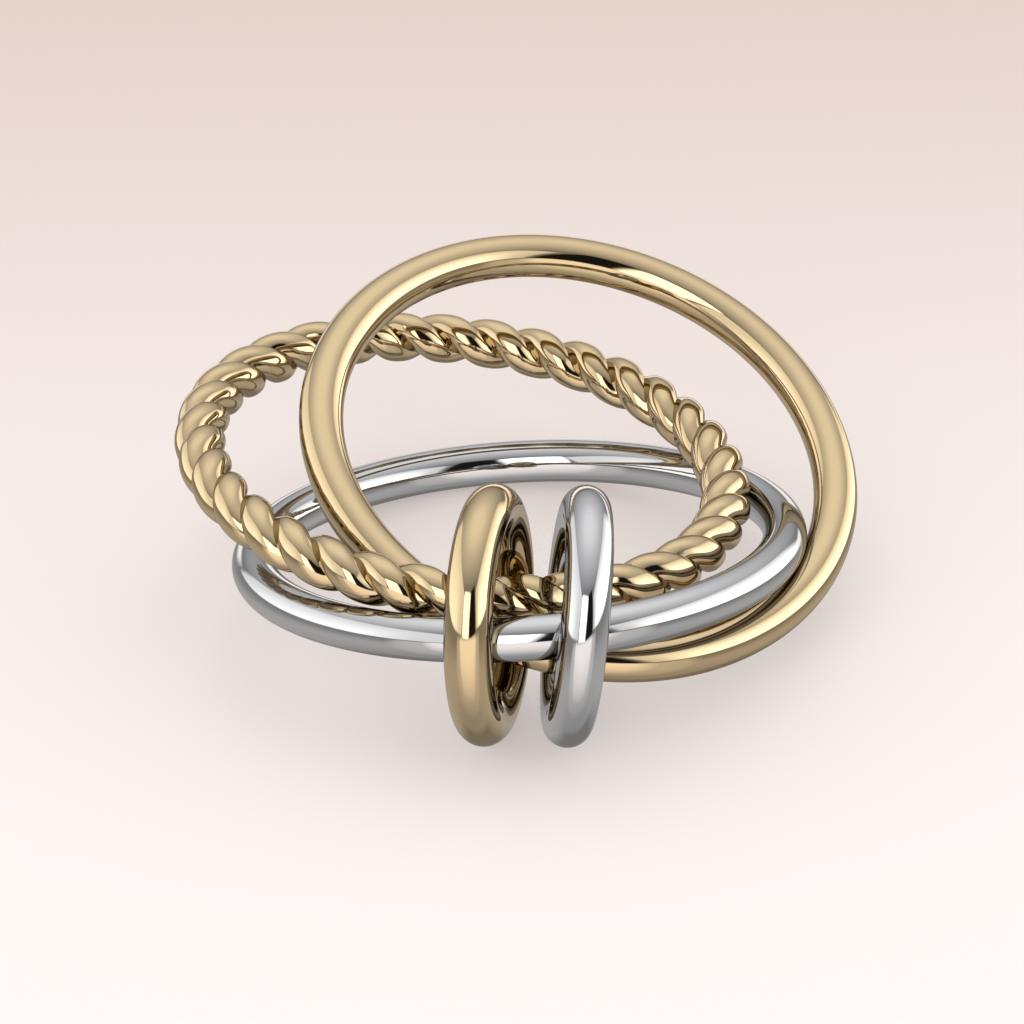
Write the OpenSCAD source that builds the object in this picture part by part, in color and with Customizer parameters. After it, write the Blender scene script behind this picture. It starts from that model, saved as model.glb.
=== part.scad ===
// A linked triple ring: a twisted rope band and two plain round bands lie loose
// in one another, and two small round links gather all three at the front.
// Each ring is modelled flat about its own middle, then laid where it rests.
// The floor is at height 0, the links face -Y and the bands run back towards +Y.

/* [Plain bands] */
// Inner diameter of the white band, a middle adult ring size
white_bore = 17.35; // [17.3:0.01:17.4]
// Inner diameter of the plain gold band
gold_bore = 17.29; // [17.25:0.01:17.35]
// Diameter of a plain band's round wire
band_wire = 1.575; // [1.5:0.005:1.6]

/* [Rope band] */
// Inner diameter of the rope band, across the crests of its strands
rope_bore = 17.12; // [17.1:0.01:17.2]
// Diameter of each of the two strands
strand_d = 1.195; // [1.1:0.005:1.2]
// How far the middle of a strand lies from the middle of the rope
strand_out = 0.317; // [0.25:0.001:0.32]
// Full left-hand turns that the strands make on their way round the band
twists = 17; // [14:1:20]
// Turn of the twist where the round starts, in degrees
twist_start = 139.85; // [0:0.05:180]

/* [Links] */
// Inner diameter of a link
link_bore = 5.75; // [5.7:0.01:5.8]
// Diameter of a link's round wire
link_wire = 1.655; // [1.5:0.005:1.66]

/* [Where the rings lie] */
// Middle of the white band
white_at = [-0.01, -0.492, 2.911]; // [-12:0.001:12]
// Lean of the white band from flat, and the compass heading of that lean
white_tilt = [12.988, 100.569]; // [-180:0.001:180]
// Middle of the plain gold band
gold_at = [2.23, 1.889, 5.358]; // [-12:0.001:12]
// Lean and heading of the plain gold band
gold_tilt = [21.926, -52.99]; // [-180:0.001:180]
// Middle of the rope band
rope_at = [-1.936, 1.801, 5.018]; // [-12:0.001:12]
// Lean and heading of the rope band
rope_tilt = [8.552, 15.689]; // [-180:0.001:180]
// Middle of the gold link
gold_link_at = [-1.074, -7.713, 4.689]; // [-12:0.001:12]
// Lean and heading of the gold link
gold_link_tilt = [87.399, -11.136]; // [-180:0.001:180]
// Middle of the white link
white_link_at = [1.902, -7.605, 4.501]; // [-12:0.001:12]
// Lean and heading of the white link
white_link_tilt = [82.792, -179.632]; // [-180:0.001:180]

/* [Hidden] */
// Colours of the two metals
YELLOW_METAL = "#dcc193";
WHITE_METAL = "#b9bcc0";
// Straight sides that stand for a circle in the preview
ROUND_SIDES = 96;
WIRE_SIDES = 32;
// Points round the rope's outline, and sections in each turn of the twist
OUTLINE_POINTS = 16;
SECTIONS_PER_TURN = 18;

// Radii from a ring's middle to the middle of its wire
white_mid = (white_bore + band_wire) / 2;
gold_mid = (gold_bore + band_wire) / 2;
link_mid = (link_bore + link_wire) / 2;
rope_mid = (rope_bore + strand_d) / 2 + strand_out;

// Half width of a strand towards its crest, and across it, where the slant
// of the twist draws its round section out
strand_high = strand_d / 2;
strand_slant = atan(strand_out * twists / rope_mid);
strand_wide = strand_high / cos(strand_slant);
rope_sections = twists * SECTIONS_PER_TURN;

// Lays a flat ring at its middle, leaning by tilt[0] towards heading tilt[1]
module lay(at, tilt) {
    translate(at)
        rotate([0, tilt[0], tilt[1]])
            children();
}

// A plain ring of round wire
module wire_ring(mid, wire) {
    rotate_extrude($fn = ROUND_SIDES)
        translate([mid, 0])
            circle(d = wire, $fn = WIRE_SIDES);
}

// Distance from the middle of the rope to its surface, at an angle from a
// strand's crest: the far side of the ellipse in which a section cuts a strand
function rope_reach(angle) =
    let (
        along = abs(cos(angle)),
        across = sin(angle),
        bend = pow(along / strand_high, 2) + pow(across / strand_wide, 2),
        lead = strand_out * along / pow(strand_high, 2),
        rest = pow(strand_out / strand_high, 2) - 1
    )
    (lead + sqrt(lead * lead - bend * rest)) / bend;

// One point of the rope's outline, counted from the groove between the
// strands, in the section at an angle round the band
function rope_point(section, point) =
    let (
        round_angle = 360 * section / rope_sections,
        outline_angle = 90 + 360 * point / OUTLINE_POINTS,
        turned = outline_angle + twist_start - twists * round_angle,
        reach = rope_reach(outline_angle),
        out = rope_mid + reach * cos(turned)
    )
    [out * cos(round_angle), out * sin(round_angle), reach * sin(turned)];

// Two strands soldered side by side and twisted, as one closed skin
module twisted_ring() {
    points = [
        for (section = [0 : rope_sections - 1], point = [0 : OUTLINE_POINTS - 1])
            rope_point(section, point)
    ];
    faces = [
        for (section = [0 : rope_sections - 1], point = [0 : OUTLINE_POINTS - 1])
            let (
                next_section = (section + 1) % rope_sections,
                next_point = (point + 1) % OUTLINE_POINTS,
                a = section * OUTLINE_POINTS + point,
                b = section * OUTLINE_POINTS + next_point,
                c = next_section * OUTLINE_POINTS + next_point,
                d = next_section * OUTLINE_POINTS + point
            )
            each [[a, b, c], [a, c, d]]
    ];
    polyhedron(points = points, faces = faces, convexity = 10);
}

// Yellow twisted band, its two strands soldered into one piece
module rope_band() {
    color(YELLOW_METAL)
        lay(rope_at, rope_tilt)
            twisted_ring();
}

// Yellow plain band
module gold_band() {
    color(YELLOW_METAL)
        lay(gold_at, gold_tilt)
            wire_ring(gold_mid, band_wire);
}

// White plain band, the lowest of the three
module white_band() {
    color(WHITE_METAL)
        lay(white_at, white_tilt)
            wire_ring(white_mid, band_wire);
}

// Yellow link round all three bands
module gold_link() {
    color(YELLOW_METAL)
        lay(gold_link_at, gold_link_tilt)
            wire_ring(link_mid, link_wire);
}

// White link round all three bands, beside the yellow one
module white_link() {
    color(WHITE_METAL)
        lay(white_link_at, white_link_tilt)
            wire_ring(link_mid, link_wire);
}

rope_band();
gold_band();
white_band();
gold_link();
white_link();
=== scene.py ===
"""Looks of the linked triple ring: a twisted rope band and two plain bands gathered by two links.

The ring is built in its own frame, in metres: the floor is at height 0, the links face -Y and
the bands run back towards +Y. Sizes in this script are in millimetres, as a goldsmith's are,
and angles are in degrees.
"""

from __future__ import annotations

import logging
import math
from dataclasses import dataclass
from enum import Enum
from typing import Any

import bpy
from mathutils import Matrix, Vector

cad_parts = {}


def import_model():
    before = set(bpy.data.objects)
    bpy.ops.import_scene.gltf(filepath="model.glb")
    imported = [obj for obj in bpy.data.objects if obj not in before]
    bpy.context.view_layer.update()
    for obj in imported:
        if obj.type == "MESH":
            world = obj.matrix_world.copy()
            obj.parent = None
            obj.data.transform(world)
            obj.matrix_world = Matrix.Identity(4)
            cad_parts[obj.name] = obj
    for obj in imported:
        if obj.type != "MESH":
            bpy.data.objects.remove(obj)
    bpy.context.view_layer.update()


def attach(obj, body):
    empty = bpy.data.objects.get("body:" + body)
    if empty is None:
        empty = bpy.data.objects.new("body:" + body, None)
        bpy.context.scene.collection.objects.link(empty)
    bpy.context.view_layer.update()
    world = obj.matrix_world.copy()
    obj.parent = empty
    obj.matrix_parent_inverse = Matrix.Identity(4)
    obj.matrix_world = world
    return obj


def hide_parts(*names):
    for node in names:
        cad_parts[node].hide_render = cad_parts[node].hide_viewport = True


LOG = logging.getLogger("linked_ring")
MM = 0.001

# A Mix node has sockets for every kind of data. These are its share, its two colours and its result
MIX_SHARE = 0
MIX_FROM = 6
MIX_TO = 7
MIX_RESULT = 2
# Most values of a noise texture lie between these two
NOISE_LOW = 0.3
NOISE_HIGH = 0.7
# The depth of a ray that reaches the dome straight off one ring, and the deepest that is told apart
FIRST_MIRROR = 2.0
LAST_MIRROR = 6.0
# How many rings in turn may mirror a ray
MIRROR_BOUNCES = 3


def add(tree: bpy.types.NodeTree, kind: str, inputs: dict[str | int, Any] | None = None,
        **settings: Any) -> bpy.types.Node:
    """Adds one node to a tree, with its settings and with what goes into its sockets.

    Args:
        tree: The tree of a shape, a material or the world.
        kind: Blender's name for the kind of node.
        inputs: A value, or the socket or node it comes from, for each socket by name or number.
        **settings: The node's own properties.

    Returns:
        The new node.
    """
    node = tree.nodes.new(kind)
    for name, value in settings.items():
        setattr(node, name, value)
    for key, value in (inputs or {}).items():
        socket = node.inputs[key]
        if isinstance(value, bpy.types.Node):
            tree.links.new(value.outputs[0], socket)
        elif isinstance(value, bpy.types.NodeSocket):
            tree.links.new(value, socket)
        else:
            socket.default_value = value
    return node


def linear(hex_colour: str) -> tuple[float, float, float, float]:
    """Turns an sRGB colour into the linear one that Blender's sockets take.

    Args:
        hex_colour: The colour as #rrggbb.

    Returns:
        Red, green, blue and a full alpha, linear.
    """
    parts = [int(hex_colour[i:i + 2], 16) / 255 for i in (1, 3, 5)]
    return (*(p / 12.92 if p <= 0.04045 else ((p + 0.055) / 1.055) ** 2.4 for p in parts), 1.0)


def towards(azimuth: float, elevation: float) -> Vector:
    """The direction at an azimuth, counted from +Y through +X, and an elevation above the floor.

    Args:
        azimuth: Degrees round the upright axis.
        elevation: Degrees above the level.

    Returns:
        A vector of length one.
    """
    turn = math.radians(azimuth)
    rise = math.radians(elevation)
    level = math.cos(rise)
    return Vector((math.sin(turn) * level, math.cos(turn) * level, math.sin(rise)))


def floor_corner(right: float, back: float, fade: float) -> tuple[float, float, float]:
    """A panel's corner on the floor, as the ring sees it from one unit of length above the floor.

    Args:
        right: Its distance towards +X, in that unit.
        back: Its distance towards +Y, in that unit.
        fade: Degrees over which the side that starts there fades in.

    Returns:
        Its azimuth, its elevation and the fade.
    """
    azimuth = math.degrees(math.atan2(right, back))
    elevation = -math.degrees(math.atan2(1.0, math.hypot(right, back)))
    return azimuth, elevation, fade


class Slot(Enum):
    """The record's material slots."""

    YELLOW = "yellow_metal"
    WHITE = "white_metal"


@dataclass(frozen=True)
class PolishedMetal:
    """Solid gold alloy, drawn as wire, closed with solder and polished on a felt wheel with rouge.

    Clouds and patches are given by their width. Clear and hazy are shares of the roughness.
    """

    name: str
    slot: Slot
    colour: str
    pale_colour: str
    roughness: float = 0.05
    clouds: float = 6.0
    cloud_detail: float = 2.0
    patches: float = 0.9
    patch_detail: float = 3.0
    clear: float = 0.75
    hazy: float = 1.35

    def material(self) -> bpy.types.Material:
        """Builds the finish as a Blender material.

        Returns:
            The new material.
        """
        material = bpy.data.materials.new(self.name)
        material.use_nodes = True
        tree = material.node_tree
        tree.nodes.clear()
        place = add(tree, "ShaderNodeTexCoord").outputs["Object"]
        # The alloy is even in colour, so its tint drifts only a little, over wide clouds
        cloud = add(tree, "ShaderNodeTexNoise", {"Vector": place, "Scale": 1 / (self.clouds * MM),
                                                 "Detail": self.cloud_detail})
        tint = add(tree, "ShaderNodeMix", {MIX_SHARE: cloud, MIX_FROM: linear(self.colour),
                                           MIX_TO: linear(self.pale_colour)}, data_type="RGBA")
        # The felt wheel leaves a mirror with a breath of haze in patches where it lingered less:
        # the eye sees crisp reflections whose edges soften and sharpen along the wire
        haze = add(tree, "ShaderNodeTexNoise", {"Vector": place, "Scale": 1 / (self.patches * MM),
                                                "Detail": self.patch_detail})
        gloss = add(tree, "ShaderNodeMapRange", {"Value": haze, "From Min": NOISE_LOW,
                                                 "From Max": NOISE_HIGH,
                                                 "To Min": self.roughness * self.clear,
                                                 "To Max": self.roughness * self.hazy})
        shader = add(tree, "ShaderNodeBsdfPrincipled", {"Base Color": tint.outputs[MIX_RESULT],
                                                        "Metallic": 1.0, "Roughness": gloss})
        add(tree, "ShaderNodeOutputMaterial", {"Surface": shader})
        return material


@dataclass(frozen=True)
class Lie:
    """How a ring lies: its middle, its lean from flat and the compass heading of that lean."""

    middle: tuple[float, float, float]
    lean: float
    heading: float

    def matrix(self) -> Matrix:
        """Works out the move that lays a flat ring there.

        Returns:
            The move, in metres.
        """
        turn = Matrix.Rotation(math.radians(self.heading), 4, "Z")
        tip = Matrix.Rotation(math.radians(self.lean), 4, "Y")
        return Matrix.Translation(Vector(self.middle) * MM) @ turn @ tip


@dataclass
class Ring:
    """What every ring of the piece shares: its CAD node, its lie, its metal and its inner diameter."""

    node: str
    lie: Lie
    metal: PolishedMetal
    bore: float

    def sizes(self) -> dict[str, float]:
        """The value of each input of the ring's node tree, by name."""
        raise NotImplementedError

    def skin(self, tree: bpy.types.NodeTree, given: bpy.types.NodeOutputs) -> bpy.types.Node:
        """Adds the nodes that make the flat ring's skin to its tree, and gives the last of them."""
        raise NotImplementedError

    def rule(self, material: bpy.types.Material) -> bpy.types.NodeTree:
        """Builds the node tree that makes the flat ring, with an input for each of its sizes.

        Args:
            material: What the tree gives its faces.

        Returns:
            The tree.
        """
        tree = bpy.data.node_groups.new(f"{self.node}_rule", "GeometryNodeTree")
        for name, value in self.sizes().items():
            kind = "NodeSocketInt" if isinstance(value, int) else "NodeSocketFloat"
            tree.interface.new_socket(name, in_out="INPUT", socket_type=kind)
        tree.interface.new_socket("Ring", in_out="OUTPUT", socket_type="NodeSocketGeometry")
        skin = self.skin(tree, add(tree, "NodeGroupInput").outputs)
        real = add(tree, "GeometryNodeRealizeInstances", {"Geometry": skin})
        dressed = add(tree, "GeometryNodeSetMaterial", {"Geometry": real, "Material": material})
        add(tree, "NodeGroupOutput", {"Ring": dressed})
        return tree

    def build(self, material: bpy.types.Material) -> bpy.types.Object:
        """Makes the ring, lays it in its place and hands it to the frame.

        Args:
            material: The finished metal.

        Returns:
            The finished piece.
        """
        name = f"{self.node}_polished"
        holder = bpy.data.objects.new(f"{name}_rule", bpy.data.meshes.new(f"{name}_rule"))
        bpy.context.scene.collection.objects.link(holder)
        modifier = holder.modifiers.new("rule", "NODES")
        modifier.node_group = self.rule(material)
        sizes = self.sizes()
        for socket in modifier.node_group.interface.items_tree:
            if socket.name in sizes:
                modifier[socket.identifier] = sizes[socket.name]
        evaluated = holder.evaluated_get(bpy.context.evaluated_depsgraph_get())
        mesh = bpy.data.meshes.new_from_object(evaluated)
        holder.modifiers.remove(modifier)
        bpy.data.objects.remove(holder)
        mesh.name = name
        mesh.transform(self.lie.matrix())
        piece = bpy.data.objects.new(name, mesh)
        bpy.context.scene.collection.objects.link(piece)
        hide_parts(self.node)
        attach(piece, "root")
        return piece


@dataclass
class WireRing(Ring):
    """A plain ring of round wire, its joint soldered and polished away."""

    wire: float
    sections: int = 720
    wire_sides: int = 80

    def sizes(self) -> dict[str, float]:
        """The value of each input of the ring's node tree.

        Returns:
            The values by name, with lengths in metres.
        """
        return {"Ring radius": (self.bore + self.wire) / 2 * MM, "Wire radius": self.wire / 2 * MM,
                "Sections": self.sections, "Wire sides": self.wire_sides}

    def skin(self, tree: bpy.types.NodeTree, given: bpy.types.NodeOutputs) -> bpy.types.Node:
        """Adds the nodes that sweep the wire's round section along the ring.

        Args:
            tree: The ring's tree.
            given: Its inputs.

        Returns:
            The node with the skin.
        """
        path = add(tree, "GeometryNodeCurvePrimitiveCircle",
                   {"Resolution": given["Sections"], "Radius": given["Ring radius"]})
        section = add(tree, "GeometryNodeCurvePrimitiveCircle",
                      {"Resolution": given["Wire sides"], "Radius": given["Wire radius"]})
        swept = add(tree, "GeometryNodeCurveToMesh", {"Curve": path, "Profile Curve": section})
        return add(tree, "GeometryNodeSetShadeSmooth", {"Geometry": swept})


@dataclass
class RopeRing(Ring):
    """Two round strands twisted left-handed, bent into a ring and soldered along their grooves.

    The strand is given by its diameter, and by how far its middle lies from the rope's middle.
    A point of the outline counts as in a groove where the cosine of its angle is under the least.
    """

    strand: float
    strand_out: float
    twists: int
    twist_start: float
    sections_per_twist: int = 68
    outline_points: int = 72
    least_cosine: float = 0.0001

    def sizes(self) -> dict[str, float]:
        """The value of each input of the ring's node tree.

        The slant of the twist draws the round section of a strand out to its width.

        Returns:
            The values by name, with lengths in metres.
        """
        radius = (self.bore + self.strand) / 2 + self.strand_out
        slant = math.atan(self.strand_out * self.twists / radius)
        return {"Ring radius": radius * MM, "Strand height": self.strand / 2 * MM,
                "Strand width": self.strand / 2 / math.cos(slant) * MM, "Strand out": self.strand_out * MM,
                "Twist start": -math.radians(self.twist_start), "Twist": self.twists * math.tau,
                "Sections": self.twists * self.sections_per_twist, "Outline points": self.outline_points}

    def outline(self, tree: bpy.types.NodeTree, given: bpy.types.NodeOutputs) -> bpy.types.Node:
        """Adds the nodes that draw the outline of both strands, counted from a groove between them.

        The outline is the far side of the two ellipses in which a section cuts the strands. Its
        distance from the middle, at each angle, solves the quadratic equation of the ellipse.

        Args:
            tree: The ring's tree.
            given: Its inputs.

        Returns:
            The node with the outline, whose points in the grooves are marked.
        """
        circle = add(tree, "GeometryNodeCurvePrimitiveCircle",
                     {"Resolution": given["Outline points"], "Radius": 1.0})
        part = add(tree, "GeometryNodeSplineParameter").outputs["Factor"]
        angle = add(tree, "ShaderNodeMath", {0: part, 1: math.tau, 2: math.pi / 2},
                    operation="MULTIPLY_ADD")
        cosine = add(tree, "ShaderNodeMath", {0: angle}, operation="COSINE")
        along = add(tree, "ShaderNodeMath", {0: cosine}, operation="ABSOLUTE")
        across = add(tree, "ShaderNodeMath", {0: angle}, operation="SINE")
        high = add(tree, "ShaderNodeMath", {0: along, 1: given["Strand height"]}, operation="DIVIDE")
        wide = add(tree, "ShaderNodeMath", {0: across, 1: given["Strand width"]}, operation="DIVIDE")
        out = add(tree, "ShaderNodeMath", {0: given["Strand out"], 1: given["Strand height"]},
                  operation="DIVIDE")
        high_squared = add(tree, "ShaderNodeMath", {0: high, 1: high}, operation="MULTIPLY")
        bend = add(tree, "ShaderNodeMath", {0: wide, 1: wide, 2: high_squared}, operation="MULTIPLY_ADD")
        lead = add(tree, "ShaderNodeMath", {0: high, 1: out}, operation="MULTIPLY")
        rest = add(tree, "ShaderNodeMath", {0: out, 1: out, 2: -1.0}, operation="MULTIPLY_ADD")
        bend_rest = add(tree, "ShaderNodeMath", {0: bend, 1: rest}, operation="MULTIPLY")
        lead_squared = add(tree, "ShaderNodeMath", {0: lead, 1: lead}, operation="MULTIPLY")
        under = add(tree, "ShaderNodeMath", {0: lead_squared, 1: bend_rest}, operation="SUBTRACT")
        root = add(tree, "ShaderNodeMath", {0: under}, operation="SQRT")
        far = add(tree, "ShaderNodeMath", {0: lead, 1: root}, operation="ADD")
        reach = add(tree, "ShaderNodeMath", {0: far, 1: bend}, operation="DIVIDE")
        direction = add(tree, "ShaderNodeCombineXYZ", {"X": cosine, "Y": across})
        point = add(tree, "ShaderNodeVectorMath", {0: direction, "Scale": reach}, operation="SCALE")
        drawn = add(tree, "GeometryNodeSetPosition", {"Geometry": circle, "Position": point})
        groove = add(tree, "FunctionNodeCompare", {0: along, 1: self.least_cosine}, operation="LESS_THAN")
        return add(tree, "GeometryNodeStoreNamedAttribute",
                   {"Geometry": drawn, "Name": "groove", "Value": groove.outputs["Result"]},
                   data_type="BOOLEAN", domain="POINT")

    def skin(self, tree: bpy.types.NodeTree, given: bpy.types.NodeOutputs) -> bpy.types.Node:
        """Adds the nodes that sweep the outline along the ring as it twists, with sharp grooves.

        Args:
            tree: The ring's tree.
            given: Its inputs.

        Returns:
            The node with the skin.
        """
        path = add(tree, "GeometryNodeCurvePrimitiveCircle",
                   {"Resolution": given["Sections"], "Radius": given["Ring radius"]})
        upright = add(tree, "GeometryNodeSetCurveNormal", {"Curve": path}, mode="Z_UP")
        way = add(tree, "GeometryNodeSplineParameter").outputs["Factor"]
        twist = add(tree, "ShaderNodeMath", {0: way, 1: given["Twist"], 2: given["Twist start"]},
                    operation="MULTIPLY_ADD")
        twisted = add(tree, "GeometryNodeSetCurveTilt", {"Curve": upright, "Tilt": twist})
        outline = self.outline(tree, given)
        swept = add(tree, "GeometryNodeCurveToMesh", {"Curve": twisted, "Profile Curve": outline})
        smooth = add(tree, "GeometryNodeSetShadeSmooth", {"Geometry": swept})
        groove = add(tree, "GeometryNodeInputNamedAttribute", {"Name": "groove"}, data_type="BOOLEAN")
        return add(tree, "GeometryNodeSetShadeSmooth",
                   {"Geometry": smooth, "Selection": groove.outputs["Attribute"], "Shade Smooth": False},
                   domain="EDGE")


@dataclass(frozen=True)
class Panel:
    """A lamp's face, a dark flag or a lit stretch of floor, as it is seen from the ring.

    Each corner is an azimuth, an elevation and the degrees inward over which the side that
    starts there fades in. The corners go in order round a convex shape.
    """

    corners: tuple[tuple[float, float, float], ...]
    colour: str
    light: float = 1.0

    def cover(self, tree: bpy.types.NodeTree, look: bpy.types.NodeSocket,
              under: bpy.types.NodeSocket) -> bpy.types.NodeSocket:
        """Lays the panel over what is behind it.

        Args:
            tree: The world's tree.
            look: The direction of sight.
            under: The light behind the panel.

        Returns:
            The socket with the light of both.
        """
        rays = [towards(azimuth, elevation) for azimuth, elevation, _ in self.corners]
        middle = sum(rays, Vector()).normalized()
        mask: Any = 1.0
        for start, end, (_, _, fade) in zip(rays, rays[1:] + rays[:1], self.corners):
            side = start.cross(end).normalized()
            side = side if side.dot(middle) > 0 else -side
            inward = add(tree, "ShaderNodeVectorMath", {0: look, 1: side}, operation="DOT_PRODUCT")
            inside = add(tree, "ShaderNodeMapRange", {"Value": inward.outputs["Value"], "From Min": 0.0,
                                                      "From Max": math.sin(math.radians(fade))})
            mask = add(tree, "ShaderNodeMath", {0: inside, 1: mask}, operation="MULTIPLY")
        colour = [part * self.light for part in linear(self.colour)[:3]] + [1.0]
        mixed = add(tree, "ShaderNodeMix", {MIX_SHARE: mask, MIX_FROM: under, MIX_TO: colour},
                    data_type="RGBA")
        return mixed.outputs[MIX_RESULT]


@dataclass(frozen=True)
class Glow:
    """Light that changes with the angle from its heart: pairs of an angle and a colour."""

    heart: Vector
    steps: tuple[tuple[float, str], ...]

    def ramp(self, tree: bpy.types.NodeTree, look: bpy.types.NodeSocket) -> bpy.types.NodeSocket:
        """Builds the glow, as a ramp over the cosine of the angle.

        Args:
            tree: The world's tree.
            look: The direction of sight.

        Returns:
            The socket with its light.
        """
        near = add(tree, "ShaderNodeVectorMath", {0: look, 1: self.heart}, operation="DOT_PRODUCT")
        share = add(tree, "ShaderNodeMath", {0: near.outputs["Value"], 1: 0.5, 2: 0.5},
                    operation="MULTIPLY_ADD")
        ramp = add(tree, "ShaderNodeValToRGB", {"Fac": share})
        stops = ramp.color_ramp.elements
        while len(stops) < len(self.steps):
            stops.new(0.5)
        for stop, (angle, colour) in zip(stops, reversed(self.steps)):
            stop.position = math.cos(math.radians(angle)) / 2 + 0.5
            stop.color = linear(colour)
        return ramp.outputs["Color"]


@dataclass(frozen=True)
class Floor:
    """A wide round card for the ring to stand on, lit from above, with a painted glow of its own.

    Its colour goes from the front one to the back one between two edges, which are places
    along +Y. The glow share of what it shows is a painted glow of its own colour.
    """

    radius: float = 900.0
    rim_points: int = 128
    front: str = "#f0e8e5"
    back: str = "#d4c3bc"
    front_edge: float = -20.0
    back_edge: float = 60.0
    glow_share: float = 0.45
    glow_strength: float = 1.15

    def material(self) -> bpy.types.Material:
        """Builds the card: pressed paper, left uncoated, so the eye sees an even tone and no gleam.

        Returns:
            The new material.
        """
        material = bpy.data.materials.new("matt card")
        material.use_nodes = True
        tree = material.node_tree
        tree.nodes.clear()
        place = add(tree, "ShaderNodeTexCoord").outputs["Object"]
        way = add(tree, "ShaderNodeSeparateXYZ", {"Vector": place}).outputs["Y"]
        # Painted shade: the card's colour darkens towards the back, where the studio's light falls off
        far = add(tree, "ShaderNodeMapRange", {"Value": way, "From Min": self.front_edge * MM,
                                               "From Max": self.back_edge * MM},
                  interpolation_type="SMOOTHSTEP")
        card = add(tree, "ShaderNodeMix", {MIX_SHARE: far, MIX_FROM: linear(self.front),
                                           MIX_TO: linear(self.back)}, data_type="RGBA")
        colour = card.outputs[MIX_RESULT]
        # Painted glow: part of the card gives off light of its own colour, which lifts the shadow of the
        # ring
        top = add(tree, "ShaderNodeBsdfDiffuse", {"Color": colour})
        through = add(tree, "ShaderNodeEmission", {"Color": colour, "Strength": self.glow_strength})
        shader = add(tree, "ShaderNodeMixShader", {0: self.glow_share, 1: top, 2: through})
        add(tree, "ShaderNodeOutputMaterial", {"Surface": shader})
        return material

    def lay(self) -> bpy.types.Object:
        """Lays the floor, which is no part of the ring.

        Returns:
            The floor.
        """
        rim = []
        for point in range(self.rim_points):
            turn = math.tau * point / self.rim_points
            rim.append((self.radius * MM * math.cos(turn), self.radius * MM * math.sin(turn), 0.0))
        mesh = bpy.data.meshes.new("studio_floor")
        mesh.from_pydata(rim, [], [range(self.rim_points)])
        mesh.materials.append(self.material())
        floor = bpy.data.objects.new("studio_floor", mesh)
        bpy.context.scene.collection.objects.link(floor)
        # The rings mirror the ground of the studio in place of the card
        floor.visible_glossy = False
        return floor


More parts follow.
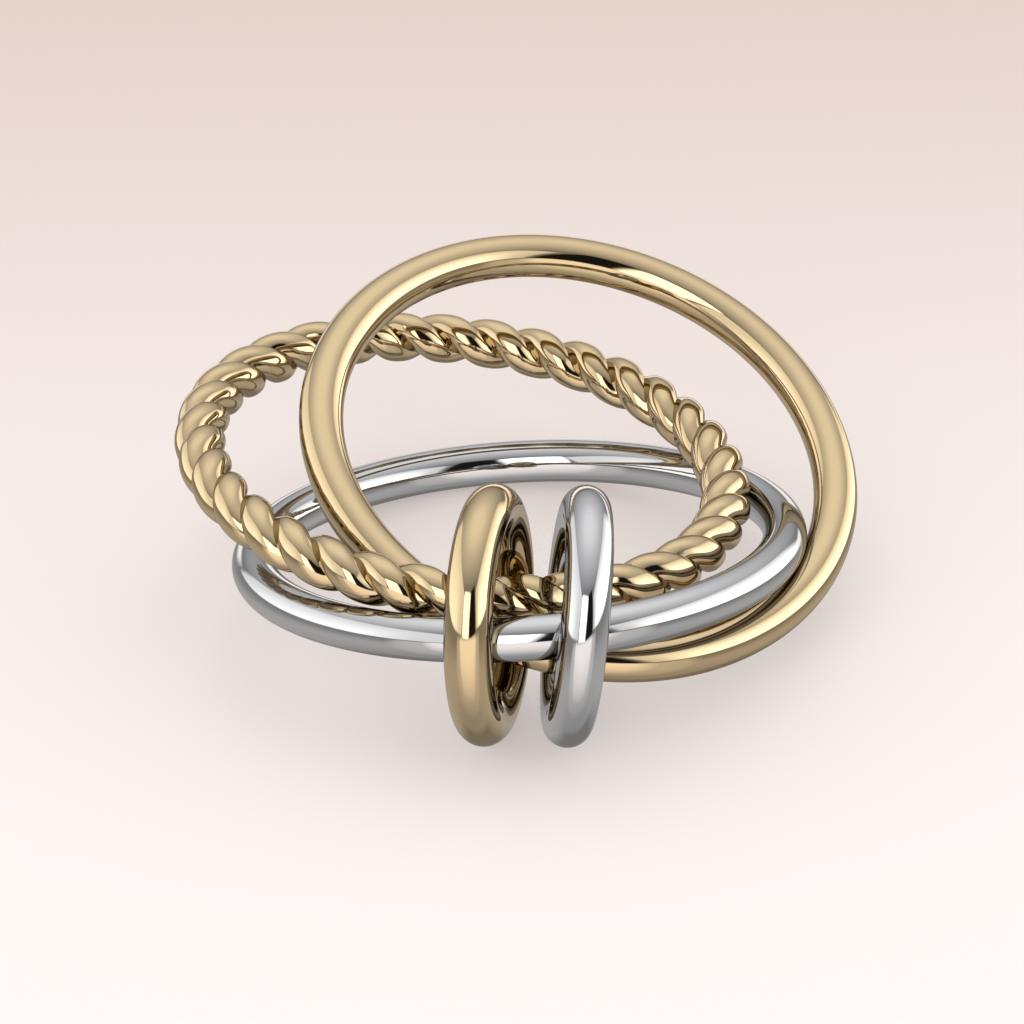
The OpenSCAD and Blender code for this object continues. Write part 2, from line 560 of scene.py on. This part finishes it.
@dataclass(frozen=True)
class Studio:
    """The soft light round the ring: a grey dome, softboxes left and right, a screen and a flag.

    The backdrop is what the camera sees past the floor. The floor light is how much brighter the
    studio lights the floor than the rings mirror it, and the painted dimming, painted shade between
    rings, is the share of the dome's light left for a ray at each further ring it has bounced off.
    The horizon is given by sines of the angle above the ground.
    """

    backdrop: str = "#e9dbd5"
    floor_light: float = 2.1
    painted_dimming: float = 0.4
    horizon_starts: float = -0.01
    horizon_ends: float = 0.03
    dome: Glow = Glow(towards(0, 62), (
        (0, "#e6e6e7"), (15, "#e3e3e3"), (28, "#d0d0d1"), (34, "#c5c5c6"), (40, "#bcbcbd"),
        (47, "#afafb0"), (52, "#a2a3a4"), (58, "#959596"), (63, "#7f7f80"), (90, "#7b7b7c")))
    # The ground is tipped by 10 degrees against the floor, low behind the ring and high in front
    ground: Glow = Glow(towards(0, 80), (
        (90, "#807f7d"), (95, "#82817f"), (100, "#8b8988"), (105, "#969493"), (110, "#a09d9c"),
        (115, "#a7a4a3"), (125, "#a9a7a6"), (140, "#a2a09f"), (155, "#969595"), (180, "#8f8f8f")))
    # Laid over the dome and the ground in this order
    panels: tuple[Panel, ...] = (
        # The lit floor in front of the ring, and its brightest stretch
        Panel(((126, 8, 6), (-126, 8, 6), (-130, -60, 50), (130, -60, 6)), "#c4c1bf"),
        Panel(((140, 10, 4), (-140, 10, 4), (-150, -45, 45), (150, -45, 8)), "#fff7f2", 0.97),
        # The bright far edge of the floor behind the ring
        Panel(((-34, -1, 3), (54, -1, 4), (50, -15, 8), (-32, -15, 8)), "#fff8f3"),
        # The shadow of the ring on the floor under it
        Panel((floor_corner(-0.5, 1.4, 14), floor_corner(0.95, 1.4, 18),
               floor_corner(0.95, -0.1, 12), floor_corner(-0.5, -0.1, 14)), "#797673"),
        # The softbox on the left: its face, and its bright middle
        Panel(((-33, -9, 2), (-150, 11, 2), (-150, 46, 1.5), (-33, 9, 5)), "#ffffff", 0.77),
        Panel(((-38, -9, 2), (-135, 9, 22), (-135, 50, 34), (-38, 14, 18)), "#ffffff", 1.17),
        # The softbox on the right, in the same way
        Panel(((34, -14, 2), (143, 12, 3), (143, 44, 2.5), (34, 14, 6)), "#ffffff", 0.71),
        Panel(((34, -14, 2), (137, 11, 14), (137, 45, 28), (34, 14, 9)), "#ffffff", 1.7),
        # The white screen in front of the ring, and the black flag beside it
        Panel(((170, 10.5, 1), (-153, 10.5, 1), (-147, 50, 1.5), (170, 50, 1)), "#ffffff", 1.7),
        Panel(((143, 10.5, 1), (180, 10.5, 5), (174, 52, 3), (143, 52, 3)), "#181818"),
    )

    def mirrored(self, tree: bpy.types.NodeTree) -> bpy.types.NodeSocket:
        """Builds what rings mirror of the studio: the dome, the ground and the panels.

        Args:
            tree: The world's tree.

        Returns:
            The socket with the light.
        """
        look = add(tree, "ShaderNodeTexCoord").outputs["Generated"]
        above = add(tree, "ShaderNodeVectorMath", {0: look, 1: self.ground.heart}, operation="DOT_PRODUCT")
        sky = add(tree, "ShaderNodeMapRange", {"Value": above.outputs["Value"],
                                               "From Min": self.horizon_starts,
                                               "From Max": self.horizon_ends})
        glow = add(tree, "ShaderNodeMix", {MIX_SHARE: sky, MIX_FROM: self.ground.ramp(tree, look),
                                           MIX_TO: self.dome.ramp(tree, look)}, data_type="RGBA")
        light = glow.outputs[MIX_RESULT]
        for panel in self.panels:
            light = panel.cover(tree, look, light)
        return light

    def light(self) -> None:
        """Hangs the dome and its panels round the ring."""
        world = bpy.data.worlds.new("soft_studio")
        world.use_nodes = True
        bpy.context.scene.world = world
        tree = world.node_tree
        tree.nodes.clear()
        path = add(tree, "ShaderNodeLightPath")
        # Painted shade: the dome is made darker for a ray at each further ring it has bounced off on its
        # way, which keeps the rings dark where they face each other
        further = add(tree, "ShaderNodeMapRange", {"Value": path.outputs["Ray Depth"],
                                                   "From Min": FIRST_MIRROR, "From Max": LAST_MIRROR,
                                                   "To Max": LAST_MIRROR - FIRST_MIRROR})
        left = add(tree, "ShaderNodeMath", {0: self.painted_dimming, 1: further}, operation="POWER")
        strength = add(tree, "ShaderNodeMath",
                       {0: path.outputs["Is Diffuse Ray"], 1: self.floor_light - 1, 2: left},
                       operation="MULTIPLY_ADD")
        seen = add(tree, "ShaderNodeMix", {MIX_SHARE: path.outputs["Is Camera Ray"],
                                           MIX_FROM: self.mirrored(tree),
                                           MIX_TO: linear(self.backdrop)}, data_type="RGBA")
        shine = add(tree, "ShaderNodeBackground", {"Color": seen.outputs[MIX_RESULT],
                                                   "Strength": strength})
        add(tree, "ShaderNodeOutputWorld", {"Surface": shine})


@dataclass(frozen=True)
class PhotoCamera:
    """The camera at the photograph's angle to the ring, with its long lens."""

    place: tuple[float, float, float] = (-0.2482, -157.3334, 101.6126)
    elevation: float = 31.808
    roll: float = -0.958
    lens: float = 182.87
    sensor: float = 36.0
    nearest: float = 5.0

    def stand(self) -> bpy.types.Object:
        """Puts the camera up and makes it the scene's own.

        Returns:
            The camera.
        """
        data = bpy.data.cameras.new("photo_camera")
        data.lens = self.lens
        data.sensor_width = self.sensor
        data.clip_start = self.nearest * MM
        camera = bpy.data.objects.new("photo_camera", data)
        tip = Matrix.Rotation(math.radians(90 - self.elevation), 4, "X")
        roll = Matrix.Rotation(math.radians(self.roll), 4, "Z")
        camera.matrix_world = Matrix.Translation(Vector(self.place) * MM) @ tip @ roll
        bpy.context.scene.collection.objects.link(camera)
        bpy.context.scene.camera = camera
        return camera


def rings() -> tuple[Ring, ...]:
    """Lists the five rings with their metal, their sizes and how they lie.

    Returns:
        The three bands, then the two links.
    """
    yellow = PolishedMetal("polished yellow gold", Slot.YELLOW, "#fbe1b4", "#f9ddad")
    white = PolishedMetal("polished white gold", Slot.WHITE, "#f1f1f2", "#eeeeef")
    band_wire = 1.575
    link_bore = 5.75
    link_wire = 1.655
    link_sections = 480
    return (
        RopeRing("rope_band", Lie((-1.936, 1.801, 5.018), 8.552, 15.689), yellow, 17.12,
                 strand=1.195, strand_out=0.317, twists=17, twist_start=139.85),
        WireRing("gold_band", Lie((2.23, 1.889, 5.358), 21.926, -52.99), yellow, 17.29, band_wire),
        WireRing("white_band", Lie((-0.01, -0.492, 2.911), 12.988, 100.569), white, 17.35, band_wire),
        WireRing("gold_link", Lie((-1.074, -7.713, 4.689), 87.399, -11.136), yellow,
                 link_bore, link_wire, link_sections),
        WireRing("white_link", Lie((1.902, -7.605, 4.501), 82.792, -179.632), white,
                 link_bore, link_wire, link_sections),
    )


def main() -> None:
    """Builds the rings, the floor, the light and the camera, in that order."""
    logging.basicConfig(level=logging.INFO, format="%(message)s")
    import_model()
    finishes: dict[PolishedMetal, bpy.types.Material] = {}
    for ring in rings():
        if ring.metal not in finishes:
            finishes[ring.metal] = ring.metal.material()
        piece = ring.build(finishes[ring.metal])
        LOG.info("%s: %d faces, %s", piece.name, len(piece.data.polygons), ring.metal.name)
    Floor().lay()
    Studio().light()
    PhotoCamera().stand()
    bpy.context.scene.view_settings.view_transform = "Standard"
    bpy.context.scene.cycles.glossy_bounces = MIRROR_BOUNCES


if __name__ == "__main__":
    main()
